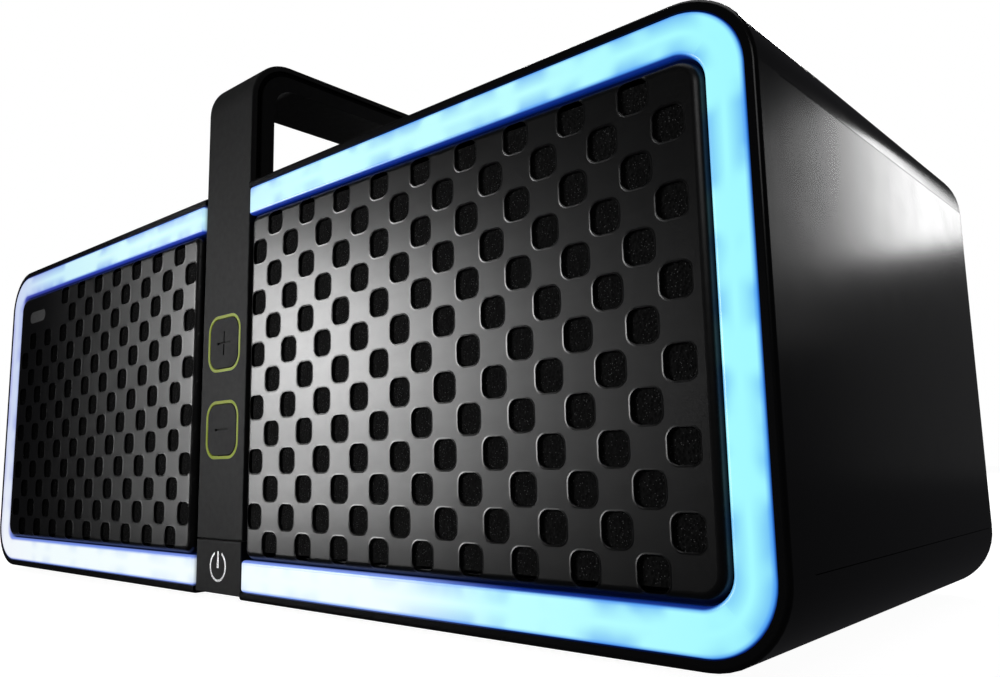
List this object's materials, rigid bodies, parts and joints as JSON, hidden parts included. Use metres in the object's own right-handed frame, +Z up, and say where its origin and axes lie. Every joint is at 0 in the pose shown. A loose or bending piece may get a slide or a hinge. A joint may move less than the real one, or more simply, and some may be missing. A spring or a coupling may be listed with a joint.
{
  "type": "party speaker",
  "caption": "Portable box speaker with a lit rim, perforated twin grilles, a rigid loop handle running through a centre band, and push keys on the band.",
  "frame": {"origin": "centre of the footprint, on the table plane under the feet", "axes": "+X along the width to the speaker's right as seen from the front, -Y out of the front face with the grilles, +Z up"},
  "size_m": [0.34, 0.134, 0.162],
  "materials": {
    "gloss_abs": "polished moulded ABS",
    "inner_abs": "fine textured moulded ABS",
    "diffuser": "satin translucent acrylic, lit",
    "circuit_board": "solder mask over glass fibre",
    "led": "moulded LED package",
    "grille_metal": "brushed, dark lacquered",
    "foam": "open-cell acoustic foam",
    "basket_metal": "powder-coated steel",
    "motor_metal": "zinc plated",
    "paper_cone": "pressed pulp, coated",
    "surround_rubber": "smooth",
    "spider_cloth": "pressed resin cloth",
    "coil": "wound enamelled wire",
    "band_abs": "fine spark-eroded texture",
    "handle_metal": "black anodised",
    "lime": "translucent moulded ring",
    "symbol_silver": "bright inlay",
    "screw_steel": "black oxide",
    "switch_metal": "stamped",
    "rubber": "matte",
    "battery_wrap": "heat-shrunk sleeve",
    "bracket_metal": "folded sheet",
    "jack_plastic": "moulded nylon",
    "jack_metal": "nickel plated"
  },
  "bodies": {
    "cabinet": {"top_cover": "gloss_abs", "bottom_cover": "gloss_abs", "end_panel_left": "gloss_abs", "end_panel_right": "gloss_abs", "front_bezel": "gloss_abs", "front_baffle": "inner_abs", "rear_panel": "inner_abs", "light_guide_left": "diffuser", "light_guide_right": "diffuser", "led_strip_left": "circuit_board", "led_strip_right": "circuit_board", "led_chips_left": "led", "led_chips_right": "led", "grille_left": "grille_metal", "grille_right": "grille_metal", "foam_left": "foam", "foam_right": "foam", "badge_plate": "symbol_silver", "driver_gaskets": "rubber", "driver_screws": "screw_steel", "handle_shell": "band_abs", "handle_frame": "handle_metal", "handle_liner": "band_abs", "handle_screws": "screw_steel", "outline_rings": "lime", "tact_switches": "switch_metal", "control_board": "circuit_board", "main_board": "circuit_board", "dc_jack": "jack_plastic", "aux_jack": "jack_plastic", "usb_port": "jack_metal", "battery_pack": "battery_wrap", "battery_bracket": "bracket_metal", "board_screws": "screw_steel", "bracket_screws": "screw_steel", "rubber_feet": "rubber", "front_screws": "screw_steel", "rear_screws": "screw_steel", "basket_left": "basket_metal", "motor_left": "motor_metal", "surround_left": "surround_rubber", "spider_left": "spider_cloth", "basket_right": "basket_metal", "motor_right": "motor_metal", "surround_right": "surround_rubber", "spider_right": "spider_cloth"},
    "plus_key": {"plus_button": "band_abs", "plus_plunger": "jack_plastic"},
    "minus_key": {"minus_button": "band_abs", "minus_plunger": "jack_plastic"},
    "power_key": {"power_button": "band_abs", "power_symbol": "symbol_silver", "power_plunger": "jack_plastic"},
    "left_diaphragm": {"cone_left": "paper_cone", "dust_cap_left": "paper_cone", "voice_coil_left": "coil"},
    "right_diaphragm": {"cone_right": "paper_cone", "dust_cap_right": "paper_cone", "voice_coil_right": "coil"}
  },
  "joints": [
    {"name": "plus_press", "type": "slide", "parent": "cabinet", "child": "plus_key", "axis": [0, 1, 0], "range_m": [0, 0.0005], "stiffness_N_per_m": 600, "springref_m": -0.0005},
    {"name": "minus_press", "type": "slide", "parent": "cabinet", "child": "minus_key", "axis": [0, 1, 0], "range_m": [0, 0.0005], "stiffness_N_per_m": 600, "springref_m": -0.0005},
    {"name": "power_press", "type": "slide", "parent": "cabinet", "child": "power_key", "axis": [0, 1, 0], "range_m": [0, 0.0005], "stiffness_N_per_m": 600, "springref_m": -0.0005},
    {"name": "left_cone_stroke", "type": "slide", "parent": "cabinet", "child": "left_diaphragm", "axis": [0, 1, 0], "range_m": [-0.002, 0.002], "stiffness_N_per_m": 1500, "deforming": ["surround_left", "spider_left"]},
    {"name": "right_cone_stroke", "type": "slide", "parent": "cabinet", "child": "right_diaphragm", "axis": [0, 1, 0], "range_m": [-0.002, 0.002], "stiffness_N_per_m": 1500, "deforming": ["surround_right", "spider_right"]}
  ]
}
